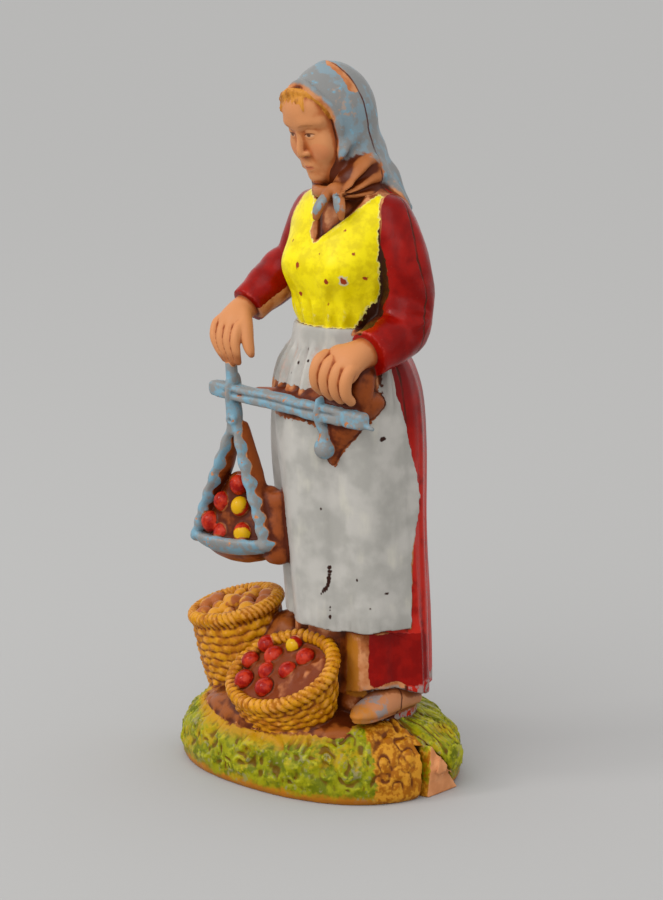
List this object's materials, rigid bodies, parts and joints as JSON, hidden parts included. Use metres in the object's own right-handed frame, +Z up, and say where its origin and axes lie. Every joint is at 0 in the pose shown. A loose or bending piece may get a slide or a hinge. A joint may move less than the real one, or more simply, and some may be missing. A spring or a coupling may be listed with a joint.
{
  "type": "nativity market figurine",
  "caption": "Moulded plastic market woman in a headscarf and long apron, holding a hand balance over fruit baskets on a grassy mound; stands on its flat underside.",
  "frame": {"origin": "middle of the flat underside of the mound, on the surface it stands on", "axes": "+Z up; -Y is the way the woman faces; +X is her left side, along the long way of the mound"},
  "size_m": [0.053, 0.0374, 0.1207],
  "materials": {
    "painted_plastic": "flesh-coloured moulded plastic with worn hand paint: semi-gloss red, yellow, off-white, blue-grey, green and ochre with a brown wash in the hollows"
  },
  "bodies": {
    "root": {"fruit_seller_figure": "painted_plastic"}
  },
  "joints": []
}
